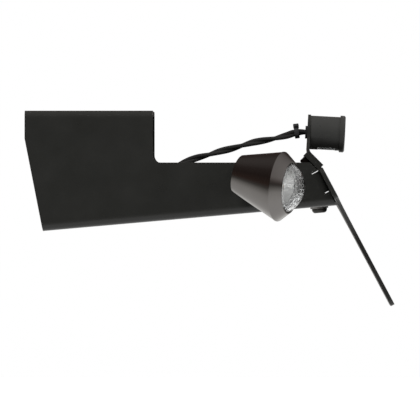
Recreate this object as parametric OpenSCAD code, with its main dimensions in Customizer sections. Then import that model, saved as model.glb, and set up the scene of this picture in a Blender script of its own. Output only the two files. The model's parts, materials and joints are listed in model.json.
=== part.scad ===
// Tail tidy: a folded sheet arm with a tilted plate holder, a plate lamp and two bullet indicators.
// +X points to the rear, +Y to the vehicle's right and +Z up.
// The origin is the centre of the four mounting holes, on the upper face of the mounting ears.

/* [Mounting ears] */
// Length of the ears along the vehicle
ear_l = 64; // [56:1:80]
// Width of each flange that is bent inwards on top of an ear
ear_flange_w = 19; // [16:0.5:20]
// Depth of the upright part of an ear before its front edge slants back
ear_depth = 14; // [8:1:18]
// Distance between the mounting holes along the vehicle
mount_dx = 40; // [30:1:46]
// Distance between the mounting holes across the vehicle
mount_dy = 37; // [34:0.5:39]
// Diameter of the mounting holes
mount_hole_d = 6.5; // [5.5:0.1:8.5]

/* [Arm] */
// Outer width of the channel
arm_w = 56; // [52:1:64]
// Thickness of the arm's sheet
sheet_t = 2; // [1.5:0.1:2.5]
// Outer radius of the arm's folds
fold_r = 4; // [3.5:0.25:5]
// How far the floor reaches in front of the mounting holes' centre
arm_front = 22.5; // [18:0.5:26]
// Depth of the side walls' top edge below the mounting face
top_drop = 26; // [24:0.5:28]
// Depth of the underside below the mounting holes' centre
floor_drop = 58.3; // [56:0.1:62]
// Rise of the floor towards the rear, in degrees
floor_tilt = 5; // [3:0.5:6]
// Width of the flanges bent inwards at the rear of the side walls
rear_flange_w = 13; // [12:0.5:15]

/* [Plate holder] */
// Where the holder's rear face crosses the height of the walls' top edge
holder_x = 115.5; // [108:0.5:130]
// Angle of the plate's plane from the vertical
rake = 28; // [22:1:34]
// Angle of the top flange from the vertical
top_rake = 45; // [40:1:50]
// Thickness of the holder's sheet
holder_t = 2; // [1.5:0.1:2.5]
// Width across the holder's wings
holder_w = 110; // [90:1:130]
// Depth of the bend under the top flange, along the slope from the walls' top edge
bend_s = 3; // [2.5:0.1:4]
// Where the wings' lower edges start, along the slope
wing_s = 19.7; // [17:0.1:24]
// Length of the concave sweep from a wing to the tongue
sweep_l = 24.6; // [20:0.1:30]
// Width of the tongue
tongue_w = 42; // [34:1:50]
// Where the tongue ends, along the slope
tongue_s = 80.5; // [74:0.5:100]
// Length of the top flange
top_flange_l = 11; // [10:0.5:13]
// Width of the top flange
top_flange_w = 52; // [44:1:60]
// Width of the foot that is bent forward onto the floor
foot_w = 24; // [20:1:25]
// Length of the foot
foot_l = 15; // [14:0.5:17]
// Diameter of the plate's fixing holes
plate_hole_d = 6.2; // [5:0.1:7]
// Distance between the fixing holes in the wings
plate_hole_dy = 84; // [70:1:96]

/* [Plate lamp] */
// Diameter of the lamp's body
lamp_d = 17; // [16:0.5:20]
// Length of the lamp's body, its rear cap included
lamp_l = 17.5; // [16:0.5:24]
// Diameter of the rear cap
cap_d = 18.5; // [17:0.25:21]
// Length of the rear cap
cap_l = 2.6; // [2:0.1:4]
// Wall of the lamp's body
lamp_wall = 1.6; // [1.2:0.1:2]
// Droop of the lamp's axis, in degrees
lamp_droop = 3; // [0:0.5:6]
// Depth of the lamp's axis below the mounting face
lamp_drop = 10.6; // [9:0.1:11]
// Thickness of the lamp bracket's sheet
bracket_t = 1.5; // [1:0.1:2]
// Distance from the walls' top edge up to the bend of the lamp bracket
bracket_rise = 5.8; // [5:0.1:6.5]
// Width of the bracket's tab beside the lamp
tab_w = 18; // [17.5:0.5:24]
// Diameter of the lamp's lead
lamp_lead_d = 3.6; // [3:0.1:3.8]

/* [Indicators] */
// Where the stems stand along the vehicle
stem_x = 77; // [70:0.5:84]
// Depth of the stems below the mounting face
stem_drop = 33; // [32.5:0.1:35]
// Diameter of the threaded stem
stem_d = 8; // [7:0.5:9]
// Diameter of the neck that the stem is screwed into
neck_d = 10; // [9.5:0.25:12]
// Distance from a side wall to the centre of the housing's front face
stand_off = 26; // [24:0.5:34]
// Radius of the housing's front face
front_r = 9.5; // [9:0.25:11]
// Radius of the sharp ridge
ridge_r = 17; // [15:0.5:19]
// Distance from the front face to the ridge
ridge_l = 23; // [21:0.5:26]
// Distance from the ridge to the lens ring
ring_l = 5.5; // [5:0.25:8]
// Radius of the lens
lens_r = 12; // [11:0.25:12.5]
// Height of the lens dome
lens_h = 6.5; // [5:0.25:8]
// Turn of the housings away from the arm, in degrees
toe_out = 20; // [14:1:26]
// Droop of the housings' cones, in degrees
droop = 14; // [8:1:18]
// Droop of the ridge, the ring and the lens, in degrees
lens_droop = 6; // [2:1:8]
// Diameter of the indicators' leads
lead_d = 3; // [2.4:0.1:3.2]

/* [Hidden] */
$fn = 64;

black = [0.13, 0.13, 0.12];
dark_chrome = [0.42, 0.40, 0.40];
steel = [0.70, 0.70, 0.72];
rubber = [0.08, 0.08, 0.08];

arc_steps = 8;
// Clearance on each side of a fit, width of a relief slit, gap of a relief, overshoot of a cutting tool and
// of a countersink, and gap between the walls' rear edges and the holder
fit = 0.1;
slit = 0.4;
relief = 1;
past = 1;
skin = 0.01;
wall_gap = 0.5;

// M4 fasteners of the holder, and M3 of the lamp
m4_d = 4;
m4_hole_d = 4.4;
m4_nut_af = 7;
m4_nut_h = 3.2;
m4_washer_d = 9;
m4_washer_h = 0.8;
m4_button_d = 7.6;
m4_button_h = 2.2;
m4_socket = 2.5;
m4_csk_d = 7;
nut_chamfer = 0.4;
screw_proud = 1.3;
m3_d = 3;
m3_hole_d = 3.3;
m3_csk_d = 5.4;
m3_socket = 2;
m3_screw_l = 4.4;

// Points of the plane seen from the side, as [x, z]
slope = [sin(rake), -cos(rake)];
slope_out = [cos(rake), sin(rake)];
top_slope = [sin(top_rake), -cos(top_rake)];
top_out = [cos(top_rake), sin(top_rake)];
plane_0 = [holder_x, -top_drop];
floor_dir = [cos(floor_tilt), sin(floor_tilt)];
floor_up = [-sin(floor_tilt), cos(floor_tilt)];
floor_0 = [0, -floor_drop];
lean = [sin(lamp_droop), cos(lamp_droop)];

bend_point = plane_0 + slope * bend_s;
flange_end = bend_point - top_slope * top_flange_l;
foot_corner = meet(floor_0 + floor_up * (sheet_t + holder_t), floor_dir, plane_0, slope);
foot_s = (foot_corner - plane_0) * slope;
foot_end = (foot_corner - floor_0) * floor_dir;
foot_bend = fold_r / tan(acos(-floor_dir * slope) / 2);
foot_overlap = 9;
foot_screw_inset = 9.5;
window_s = foot_s - foot_l + relief;
flange_s0 = bend_s + wall_gap;
flange_s1 = foot_s - fold_r - relief;
holder_screw_s = (flange_s0 + flange_s1) / 2;
holder_screw_y = arm_w / 2 - sheet_t - rear_flange_w / 2 + wall_gap;
foot_screw_x = foot_end - foot_screw_inset;
foot_screw_y = 6.5;
corner_r = 4;
wing_hole_s = 11.5;
slot_inset = 28.5;
slot_s = tongue_s - slot_inset;
slot_l = 14;
lower_hole_inset = 10.5;
lower_hole_s = tongue_s - lower_hole_inset;
drain_d = 6;
drain_x = [35, 62];

// The lamp bracket's outer face: its foot lies on the top flange, and its tab stands up from the bend.
// The edge is how far it reaches past the flange's bend and over the lamp
bracket_edge = 0.6;
foot_face = bend_point + top_out * bracket_t;
bracket_bend = meet(foot_face, top_slope, [0, -top_drop + bracket_rise], [1, 0]);
bracket_end = foot_face - top_slope * bracket_edge;
lamp_seat = bracket_bend + lean * ((-lamp_drop - bracket_bend[1]) / lean[1]);
tab_top = lamp_seat + lean * (lamp_d / 2 + bracket_edge);
bracket_screw_s = 3.5;
bracket_screw_y = 9.5;
bracket_corner = 4;

// Inside of the plate lamp, with z along its axis from the bracket's rear face
lamp_front = 3;
lamp_bore_d = lamp_d - 2 * lamp_wall;
lamp_screw_y = 5.4;
grommet_wall = 0.7;
grommet_d = lamp_lead_d + 2 * grommet_wall;
grommet_lip = 1;
cap_spigot = 2;
cap_edge = 0.6;
cap_dish = 0.5;
cap_rim = 2;
cap_wall = 1.5;
window_w = 9;
window_end = 2.1;
window_z = lamp_front + 1.2;
window_l = lamp_l - cap_l - window_z - window_end;
board_t = 1;
board_z = lamp_front + 1;
board_l = lamp_l - cap_l - cap_spigot - board_z - 4 * fit;
board_w = 10;
chip = 2.4;
chip_gap = 2.7;

// Stack of the indicator stem through the wall, from the outside inwards
rubber_t = 3;
rubber_d = 12;
washer_t = 1.2;
washer_d = 15;
nut_h = 5;
nut_af = 13;
stem_proud = 1.5;
stem_short = 8;
way_short = 1;
stem_in = sheet_t + washer_t + nut_h + stem_proud;
stem_out = stand_off - stem_short;
stem_bore_d = lead_d + 8 * fit;
lead_way = stand_off - way_short;

// Indicator housing: the centre of its front face, and its inside with z along its axis from there. The
// ridge lies in a plane skewed to the cone's axis, so the cone reaches further below its axis there than
// above it, and the ridge stands a lip proud of the cone all round
housing_shift = [-2, 1.2];
housing_at = [stem_x + housing_shift[0], arm_w / 2 + stand_off, housing_shift[1] - stem_drop];
front_round = 1.5;
ridge_w = 0.4;
ring_r = lens_r + 1;
skew = droop - lens_droop;
cone_slope = (ridge_r - front_r) / ridge_l;
ridge_up = ridge_r / (cos(skew) + cone_slope * sin(skew));
ridge_down = ridge_r / (cos(skew) - cone_slope * sin(skew));
ridge_lip = 0.15;
band_r = (ridge_down + ridge_up) / 2 + ridge_lip;
band_shift = (ridge_down - ridge_up) / 2;
front_wall = 1.2;
room_r = 5.5;
board_gap = 1;
bore_r = lens_r - 2;
mouth_z = ridge_l + ring_l;
seat_z = mouth_z - 2.2;
lens_wall = 1.4;
lens_rim = 1.4;
bowl_depth = 10;
bowl_eye_r = 2.6;
bowl_lip = 0.8;
lamp_r = 2.4;
disc_t = 1.2;
bore_z = seat_z - bowl_depth - disc_t - board_gap;
room_overlap = 1.1;
room_l = bore_z - front_wall + room_overlap;

// Places of the leads along the floor
lead_y = 9.5;
lead_rise = 2.1;
lamp_lead_rise = 3.4;
connector_l = 17;
connector_w = 8.6;
connector_h = 6.4;
latch_x = 3;
latch_l = 7;
latch_h = 1;
groove_w = 1.2;
groove_depth = 0.8;
pin_d = 2.2;
entry_l = 3;
saddle_x = [14, 44];
saddle_l = 7;
saddle_h = lead_d + 2.4;
saddle_w = 2 * lead_y + lead_d + 5;
saddle_base = 2.4;
tie_at = [104.3, 0, -10.75];
tie_pitch = 7;
tie_w = 2.4;
tie_t = 1.1;
tie_head = [2.6, 3.4, 2.8];

// Route of the lamp's lead, from the lamp's board to its connector
lamp_route = [
    [115, 0, -10.8], [111, 0, -10.6], [107, 0, -10.4], [103, 0, -10.9], [99, 0, -12.2], [92, 0, -13.9],
    [83, 0, -15.5], [77.5, 0, -17], [72, 0, -18.6], [65, 0, -20.3], [60, 0, -21.8], [54, 0, -23.4],
    [48, 0, -25.5], [41, 0, -28.6], [34, 0, -32.6], [27, 0, -37.4], [20, 0, -42.4], [13, 0, -46.8],
    [8, 0, -49.8], [4, 0, -51.7], [1, 0, -52.6], [-2, 0, -53.05], [-4, 0, -53.23]
];

// Route of an indicator's lead, from its board through the stem to its connector, on the right side
side_route = [
    [88.1, 58.7, -37.3], [86, 57.7, -36.3], [83.4, 56.6, -35.2], [80.8, 55.4, -34.3], [78.6, 53.8, -33.5],
    [77.3, 51.5, -33.1], [77, 48, -33], [77, 42, -33], [77, 36, -33], [77, 30, -33], [77, 24, -33],
    [77, 19, -33], [76.4, 15.4, -33.5], [74.4, 12.4, -35.2], [71.4, 10.4, -38.2], [67.8, 9.6, -42],
    [63.8, 9.5, -45.4],
    [59.4, 9.5, -48], [54.4, 9.5, -49.3], [49, 9.5, -49.9], [42, 9.5, -50.5], [35, 9.5, -51.1],
    [28, 9.5, -51.7], [21, 9.5, -52.3], [14, 9.5, -53], [7, 9.5, -53.6], [1, 9.5, -54.1], [-4, 9.5, -54.5]
];

// The connectors stand where the leads end, with this much of each lead inside
lead_grip = 1.5;
connector_x = lamp_route[len(lamp_route) - 1][0] + lead_grip;

function unit(v) = v / norm(v);
function left(v) = [-v[1], v[0]];
function meet(p, u, q, v) = p + u * cross(q - p, v) / cross(u, v);

// Arc of radius r that rounds the corner c between the points a and b
function rounded(a, c, b, r) =
    let (
        u = unit(a - c),
        v = unit(b - c),
        half = acos(u * v) / 2,
        centre = c + unit(u + v) * r / sin(half),
        start = c + u * r / tan(half) - centre,
        turn = (180 - 2 * half) * sign(cross(start, c + v * r / tan(half) - centre))
    )
    [for (i = [0:arc_steps]) let (w = turn * i / arc_steps)
        centre + [start[0] * cos(w) - start[1] * sin(w), start[0] * sin(w) + start[1] * cos(w)]];

// Outline of a strip of sheet of thickness t that lies on the left of a path
function edge_point(path, i, t) =
    let (
        last = len(path) - 1,
        a = i == 0 ? unit(path[1] - path[0]) : unit(path[i] - path[i - 1]),
        b = i == last ? a : unit(path[i + 1] - path[i]),
        n = unit(left(a) + left(b))
    )
    path[i] + n * t / (n * left(a));
function strip(path, t) = concat(path, [for (i = [len(path) - 1:-1:0]) edge_point(path, i, t)]);

// Outline whose one side is given, from its start to its end, and whose other side mirrors it
function mirrored(side) = concat(side, [for (i = [len(side) - 1:-1:0]) [side[i][0], -side[i][1]]]);

// Frames: along the holder's slope, along the floor, along a top flange, and on the lamp's axis
module on_plane() {
    translate([holder_x, 0, -top_drop]) rotate([0, 90 - rake, 0]) children();
}

module on_floor() {
    translate([0, 0, -floor_drop]) rotate([0, -floor_tilt, 0]) children();
}

module on_top_flange(face) {
    translate([face[0], 0, face[1]]) rotate([0, 90 - top_rake, 0]) children();
}

module on_lamp() {
    translate([lamp_seat[0], 0, lamp_seat[1]]) rotate([0, 90 + lamp_droop, 0]) children();
}

module both_sides() {
    children();
    mirror([0, 1, 0]) children();
}

// Side view shape drawn as [x, z] and carried across the vehicle
module across(width) {
    rotate([90, 0, 0]) linear_extrude(width, center = true) children();
}

// Section of a fold: a leg along x, a leg along y, and the fold's outer corner at the origin
module fold_section(leg_x, leg_y, t) {
    translate([fold_r, 0]) square([leg_x - fold_r, t]);
    translate([0, fold_r]) square([t, leg_y - fold_r]);
    difference() {
        intersection() {
            translate([fold_r, fold_r]) circle(fold_r);
            square(fold_r);
        }
        translate([fold_r, fold_r]) circle(fold_r - t);
    }
}

module channel_section(height) {
    both_edges() {
        translate([-arm_w / 2, 0]) fold_section(arm_w / 2 + 1, height, sheet_t);
    }
}

module both_edges() {
    children();
    mirror([1, 0]) children();
}

// Side view of the channel's walls, up to the folds of the ears. The rear edge follows the holder, and
// slits part it from the fold of the rear flange
module arm_side() {
    fold_line = plane_0 - slope_out * (holder_t + fold_r);
    rear_line = plane_0 - slope_out * (holder_t + wall_gap);
    under_flange = bend_point - top_out * (holder_t + wall_gap);
    slit_above = flange_s0 - slit;
    slit_below = flange_s1 + slit;
    top_rear = meet(under_flange, top_slope, plane_0, [1, 0]);
    inner = [ear_l / 2, -top_drop];
    polygon(concat(
        [[-ear_l / 2, -fold_r], [-ear_l / 2, -ear_depth], [-arm_front, -floor_drop - fold_r]],
        [rear_line + slope * (foot_s + 10 * past), rear_line + slope * slit_below],
        [fold_line + slope * slit_below, fold_line + slope * slit_above],
        [meet(under_flange, top_slope, plane_0 + slope * slit_above, slope_out)],
        [top_rear],
        rounded(top_rear, inner, [ear_l / 2, -fold_r], fold_r),
        [[ear_l / 2, -fold_r]]
    ));
}

module slot(length, d, t) {
    for (i = [-1, 1]) translate([0, i * (length - d) / 2, -t]) cylinder(h = 3 * t, d = d);
    translate([-d / 2, -(length - d) / 2, -t]) cube([d, length - d, 3 * t]);
}

module arm_bracket() {
    color(black)
    difference() {
        union() {
            intersection() {
                on_floor() rotate([90, 0, 90]) translate([0, 0, -2 * ear_l]) linear_extrude(5 * ear_l)
                    channel_section(floor_drop + ear_l);
                across(2 * arm_w) arm_side();
            }
            both_sides() {
                translate([-ear_l / 2, arm_w / 2, 0]) rotate([-90, 0, -90])
                    linear_extrude(ear_l) fold_section(ear_flange_w, ear_depth, sheet_t);
                on_plane() translate([flange_s0, arm_w / 2, -holder_t]) rotate([-90, 0, -90])
                    linear_extrude(flange_s1 - flange_s0)
                        fold_section(rear_flange_w + sheet_t, fold_r + sheet_t, sheet_t);
            }
        }
        for (x = [-1, 1], y = [-1, 1]) {
            translate([x * mount_dx / 2, y * mount_dy / 2, -2 * sheet_t])
                cylinder(h = 3 * sheet_t, d = mount_hole_d);
        }
        for (y = [-1, 1]) {
            on_plane() translate([holder_screw_s, y * holder_screw_y, -holder_t - 2 * sheet_t])
                cylinder(h = 3 * sheet_t, d = m4_hole_d);
            on_foot_screw(y) translate([0, 0, -sheet_t]) cylinder(h = 3 * sheet_t, d = m4_hole_d);
        }
        translate([stem_x, 0, -stem_drop]) rotate([90, 0, 0])
            cylinder(h = 2 * arm_w, d = stem_d + 4 * fit, center = true);
        on_floor() for (x = drain_x) translate([x, 0, 0])
            cylinder(h = 4 * sheet_t, d = drain_d, center = true);
        on_floor() translate([foot_end - foot_bend - relief, -foot_w / 2 - relief, -sheet_t])
            cube([4 * foot_bend, foot_w + 2 * relief, 3 * sheet_t]);
    }
}

// Seats of the foot's screws: z runs up from the underside of the floor
module on_foot_screw(side) {
    on_floor() translate([foot_screw_x, side * foot_screw_y, 0]) children();
}

// Outline of the holder in its plane, x down the slope
module holder_outline() {
    half = holder_w / 2;
    sweep_w = (holder_w - tongue_w) / 2;
    side = concat(
        rounded([bend_s, 0], [bend_s, half], [wing_s, half], corner_r),
        rounded([bend_s, half], [wing_s, half], [wing_s, 0], corner_r / 2),
        [for (i = [1:2 * arc_steps]) let (w = 90 * i / (2 * arc_steps))
            [wing_s + sweep_l * (1 - cos(w)), half - sweep_w * sin(w) - corner_r / 2 * (1 - sin(w))]],
        rounded([wing_s, tongue_w / 2], [tongue_s, tongue_w / 2], [tongue_s, 0], corner_r)
    );
    polygon(mirrored(side));
}

module plate_holder() {
    foot_start = foot_corner - floor_dir * foot_l;
    foot_path = concat(
        [foot_start],
        rounded(foot_start, foot_corner, foot_corner + slope * foot_l, fold_r),
        [foot_corner + slope * foot_overlap]
    );
    color(black)
    difference() {
        union() {
            difference() {
                on_plane() translate([0, 0, -holder_t]) linear_extrude(holder_t) holder_outline();
                on_plane() translate([window_s, -foot_w / 2 - relief, -2 * holder_t])
                    cube([foot_s + foot_bend - window_s, foot_w + 2 * relief, 3 * holder_t]);
            }
            across(foot_w) polygon(strip(foot_path, -holder_t));
            across(top_flange_w) polygon(strip(
                [flange_end, bend_point, bend_point + slope * relief], -holder_t));
        }
        for (y = [-1, 1]) {
            on_plane() translate([holder_screw_s, y * holder_screw_y, 0])
                countersink(m4_csk_d, m4_hole_d, holder_t);
            on_bracket_screw(y) translate([0, 0, -bracket_t - 2 * holder_t])
                cylinder(h = 3 * holder_t, d = m4_hole_d);
            on_foot_screw(y) cylinder(h = 4 * holder_t, d = m4_hole_d);
            on_plane() translate([wing_hole_s, y * plate_hole_dy / 2, -2 * holder_t])
                cylinder(h = 3 * holder_t, d = plate_hole_d);
        }
        on_plane() translate([lower_hole_s, 0, -2 * holder_t]) cylinder(h = 3 * holder_t, d = plate_hole_d);
        on_plane() translate([slot_s, 0, 0]) rotate([0, 0, 90]) slot(slot_l, plate_hole_d, 2 * holder_t);
    }
}

// A hole with a countersink from the face at z = 0 downwards
module countersink(head_d, hole_d, t) {
    depth = (head_d - hole_d) / 2;
    translate([0, 0, -3 * t]) cylinder(h = 4 * t, d = hole_d);
    translate([0, 0, -depth]) cylinder(h = depth + skin, d1 = hole_d, d2 = head_d + 2 * skin);
}

// A countersunk screw whose head is flush with z = 0
module flat_screw(head_d, d, length, socket) {
    depth = (head_d - d) / 2;
    difference() {
        union() {
            translate([0, 0, -depth]) cylinder(h = depth, d1 = d, d2 = head_d - 2 * fit);
            translate([0, 0, -length]) cylinder(h = length - depth, d = d);
        }
        translate([0, 0, -socket * 0.6]) cylinder(h = socket, d = socket, $fn = 6);
    }
}

// A hexagon nut that stands on z = 0
module hex_nut(af, h, d) {
    difference() {
        intersection() {
            cylinder(h = h, d = af / cos(30), $fn = 6);
            cylinder(h = h, d1 = af / cos(30) + h, d2 = af / cos(30) - nut_chamfer);
        }
        translate([0, 0, -h / 2]) cylinder(h = 2 * h, d = d + fit / 2);
    }
}

module holder_screws() {
    color(steel) both_sides() on_plane() translate([holder_screw_s, holder_screw_y, 0])
        flat_screw(m4_csk_d, m4_d, holder_t + sheet_t + m4_nut_h + 2 * screw_proud, m4_socket);
}

module holder_nuts() {
    color(steel) both_sides() on_plane() translate([holder_screw_s, holder_screw_y, -holder_t - sheet_t])
        mirror([0, 0, 1]) hex_nut(m4_nut_af, m4_nut_h, m4_d);
}

module foot_screws() {
    grip = m4_washer_h + sheet_t + holder_t + m4_nut_h + screw_proud;
    ball_d = m4_button_d * 1.25;
    color(steel) for (y = [-1, 1]) on_foot_screw(y) translate([0, 0, -m4_washer_h]) difference() {
        union() {
            cylinder(h = grip, d = m4_d);
            intersection() {
                translate([0, 0, -m4_button_h]) cylinder(h = m4_button_h, d = m4_button_d);
                translate([0, 0, ball_d / 2 - m4_button_h - fit]) sphere(d = ball_d);
            }
        }
        translate([0, 0, -m4_button_h - fit])
            cylinder(h = m4_button_h / 2 + fit, d = m4_socket / cos(30), $fn = 6);
    }
}

module foot_washers() {
    color(steel) for (y = [-1, 1]) on_foot_screw(y) translate([0, 0, -m4_washer_h])
        ring(m4_washer_d, m4_hole_d, m4_washer_h);
}

module foot_nuts() {
    color(steel) for (y = [-1, 1]) on_foot_screw(y) translate([0, 0, sheet_t + holder_t])
        hex_nut(m4_nut_af, m4_nut_h, m4_d);
}

module ring(outer_d, inner_d, h) {
    difference() {
        cylinder(h = h, d = outer_d);
        translate([0, 0, -h]) cylinder(h = 3 * h, d = inner_d);
    }
}

// Seats of the lamp bracket's screws: z runs out of the bracket's rear face
module on_bracket_screw(side) {
    face = bracket_bend + top_slope * bracket_screw_s;
    on_top_flange(face) translate([0, side * bracket_screw_y, 0]) children();
}

// Tab seen from the front, x down: round over the lamp and flared to the width of the foot
module tab_outline() {
    reach = norm(lamp_seat - bracket_bend);
    half = tab_w / 2;
    flare = (top_flange_w - tab_w) / 2 - bracket_corner;
    polygon(mirrored(concat(
        [[reach + top_flange_w, half + flare]],
        [for (i = [0:arc_steps]) let (w = 90 * i / arc_steps)
            [reach - (reach - past) * (1 - cos(w)), half + flare * (1 - sin(w))]],
        [[0, half]]
    )));
}

module lamp_bracket() {
    path = concat(
        [tab_top + lean * 2 * past],
        rounded(tab_top, bracket_bend, bracket_end, 2 * bracket_t),
        [bracket_end]
    );
    color(black)
    difference() {
        intersection() {
            across(2 * top_flange_w) polygon(strip(path, -bracket_t));
            on_lamp() {
                linear_extrude(8 * lamp_l, center = true) tab_outline();
                cylinder(h = 8 * lamp_l, d = tab_w, center = true);
            }
        }
        for (y = [-1, 1]) {
            on_bracket_screw(y) countersink(m4_csk_d, m4_hole_d, bracket_t);
            on_lamp() translate([0, y * lamp_screw_y, 0]) mirror([0, 0, 1])
                countersink_front(m3_csk_d, m3_hole_d, bracket_t);
        }
        on_lamp() cylinder(h = lamp_l, d = grommet_d, center = true);
    }
}

module countersink_front(head_d, hole_d, t) {
    depth = (head_d - hole_d) / 2;
    translate([0, 0, -t]) cylinder(h = 3 * t, d = hole_d);
    translate([0, 0, t - depth]) cylinder(h = depth + skin, d1 = hole_d, d2 = head_d + 2 * skin);
}

module bracket_screws() {
    color(steel) for (y = [-1, 1]) on_bracket_screw(y)
        flat_screw(m4_csk_d, m4_d, bracket_t + holder_t + m4_nut_h + screw_proud, m4_socket);
}

module bracket_nuts() {
    color(steel) for (y = [-1, 1]) on_bracket_screw(y) translate([0, 0, -bracket_t - holder_t])
        mirror([0, 0, 1]) hex_nut(m4_nut_af, m4_nut_h, m4_d);
}

// Room of the window for the light, in the lower side of the lamp's body
module lamp_window(gap) {
    translate([0, -window_w / 2 - gap, window_z - gap])
        cube([lamp_d, window_w + 2 * gap, window_l + 2 * gap]);
}

module lamp_housing() {
    color(black) on_lamp() difference() {
        cylinder(h = lamp_l - cap_l, d = lamp_d);
        translate([0, 0, lamp_front]) cylinder(h = lamp_l, d = lamp_bore_d);
        translate([0, 0, -past]) cylinder(h = lamp_front + 2 * past, d = lamp_lead_d + 2 * fit);
        for (y = [-1, 1]) translate([0, y * lamp_screw_y, -past])
            cylinder(h = lamp_front + 2 * past, d = m3_d + fit / 2);
        lamp_window(0);
    }
}

module lamp_cap() {
    color(black) on_lamp() translate([0, 0, lamp_l - cap_l]) difference() {
        union() {
            rotate_extrude() polygon([
                [0, 0], [cap_d / 2, 0], [cap_d / 2, cap_l - cap_edge],
                [cap_d / 2 - cap_edge, cap_l], [0, cap_l]]);
            translate([0, 0, -cap_spigot]) cylinder(h = cap_spigot, d = lamp_bore_d - 2 * fit);
        }
        translate([0, 0, cap_l - cap_dish]) cylinder(h = past, d = cap_d - 2 * cap_rim);
        translate([0, 0, -cap_spigot - past])
            cylinder(h = cap_spigot + past, d = lamp_bore_d - 2 * cap_wall);
    }
}

module lamp_lens() {
    color([0.85, 0.87, 0.88, 0.5]) on_lamp() intersection() {
        difference() {
            cylinder(h = lamp_l, d = lamp_d - 3 * fit);
            translate([0, 0, -past]) cylinder(h = 2 * lamp_l, d = lamp_bore_d + 2 * fit);
        }
        lamp_window(-fit);
    }
}

module lamp_led_board() {
    board_x = lamp_lead_d / 2 + board_t / 2;
    color([0.1, 0.35, 0.2]) on_lamp() {
        translate([board_x, -board_w / 2, board_z]) cube([board_t, board_w, board_l]);
        for (i = [-1:1])
            translate([board_x + board_t, -chip / 2, board_z + (board_l - chip) / 2 + i * chip_gap])
                cube([chip / 2, chip, chip]);
    }
}

module lamp_screws() {
    color(steel) on_lamp() for (y = [-1, 1]) translate([0, y * lamp_screw_y, -bracket_t])
        mirror([0, 0, 1]) flat_screw(m3_csk_d, m3_d, m3_screw_l, m3_socket);
}

module lamp_grommet() {
    color(rubber) on_lamp() difference() {
        translate([0, 0, -bracket_t - grommet_lip]) union() {
            cylinder(h = bracket_t + grommet_lip, d = grommet_d - fit / 2);
            cylinder(h = grommet_lip, d = grommet_d + 2 * grommet_wall);
        }
        translate([0, 0, -bracket_t - 2 * grommet_lip]) cylinder(h = lamp_l, d = lamp_lead_d + 3 * fit);
    }
}

// Tube along a route, with flat ends
function along(route, i) =
    i == 0 ? unit(route[1] - route[0]) :
    i == len(route) - 1 ? unit(route[i] - route[i - 1]) : unit(route[i + 1] - route[i - 1]);
function side_of(t) = unit(cross(t, abs(t[1]) > 0.9 ? [0, 0, 1] : [0, 1, 0]));

module lead(route, d) {
    sides = 8;
    last = len(route) - 1;
    rings = [for (i = [0:last])
        let (t = along(route, i), u = ring_side(route, i), v = cross(t, u))
        for (k = [0:sides - 1]) route[i] + (u * cos(360 * k / sides) + v * sin(360 * k / sides)) * d / 2];
    faces = concat(
        [[for (k = [0:sides - 1]) k]],
        [for (i = [0:last - 1], k = [0:sides - 1])
            let (m = (k + 1) % sides)
            [i * sides + k, (i + 1) * sides + k, (i + 1) * sides + m, i * sides + m]],
        [[for (k = [sides - 1:-1:0]) last * sides + k]]
    );
    polyhedron(rings, faces, convexity = 6);
}

// The first ring's side is carried from ring to ring, so that the tube doesn't twist
function ring_side(route, i) =
    i == 0 ? side_of(along(route, 0)) :
    let (t = along(route, i), u = ring_side(route, i - 1)) unit(u - t * (u * t));

module lamp_lead() {
    color(rubber) lead(lamp_route, lamp_lead_d);
}

// A tie round the lamp's lead in front of the bracket, with its head on top
module lamp_lead_tie() {
    color(rubber) translate(tie_at) rotate([0, 90 - tie_pitch, 0]) difference() {
        union() {
            cylinder(h = tie_w, d = lamp_lead_d + 2 * tie_t, center = true);
            translate([-lamp_lead_d / 2 - tie_head[2], -tie_head[1] / 2, -tie_head[2] / 2]) cube(
                [tie_head[0], tie_head[1], tie_head[2]]);
        }
        cylinder(h = 4 * tie_w, d = lamp_lead_d + 3 * fit, center = true);
    }
}

// A two way connector: x runs rearwards to its rear face, where the lead enters, and z = 0 is the floor
module connector(entry_d, entry_z) {
    color([0.16, 0.16, 0.17]) difference() {
        union() {
            translate([-connector_l, -connector_w / 2, 0]) cube([connector_l, connector_w, connector_h]);
            translate([latch_x - connector_l, -connector_w / 4, connector_h])
                cube([latch_l, connector_w / 2, latch_h]);
        }
        for (y = [-1, 1]) translate([-connector_l - past, y * connector_w / 4, connector_h / 2])
            rotate([0, 90, 0]) cylinder(h = connector_l / 3, d = pin_d);
        translate([-connector_l / 2, -connector_w, connector_h - groove_depth])
            cube([groove_w, 2 * connector_w, 2 * latch_h]);
        translate([-entry_l, 0, entry_z]) rotate([0, 90, 0]) cylinder(h = entry_l + past, d = entry_d);
    }
}

module lamp_connector() {
    on_floor() translate([connector_x, 0, sheet_t]) connector(lamp_lead_d + 3 * fit, lamp_lead_rise);
}

// A saddle on the floor with a snap channel for each indicator lead, low in the middle under the lamp's lead
module saddle() {
    mouth = 0.8 * lead_d;
    difference() {
        translate([-saddle_l / 2, -saddle_w / 2, 0]) cube([saddle_l, saddle_w, saddle_h]);
        for (y = [-lead_y, lead_y]) translate([0, y, lead_rise]) rotate([0, 90, 0]) {
            cylinder(h = 2 * saddle_l, d = lead_d + 2 * fit, center = true);
            translate([-saddle_h, -mouth / 2, -saddle_l]) cube([saddle_h, mouth, 2 * saddle_l]);
        }
        translate([-saddle_l, lead_d - lead_y, saddle_base])
            cube([2 * saddle_l, 2 * (lead_y - lead_d), saddle_h]);
    }
}

module lead_saddles() {
    color([0.2, 0.2, 0.2]) for (x = saddle_x) on_floor() translate([x, 0, sheet_t]) saddle();
}

// The indicators are drawn on the right side, and the left one is its mirror image. The cone has a frame of
// its own, and the ridge, the ring, the lens and what lies behind it share a frame that droops less
module in_cone() {
    translate(housing_at) rotate([0, droop, toe_out]) rotate([0, 90, 0]) children();
}

module in_housing() {
    in_cone() translate([0, 0, ridge_l]) rotate([0, -skew, 0])
        translate([band_shift, 0, -ridge_l]) children();
}

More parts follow.
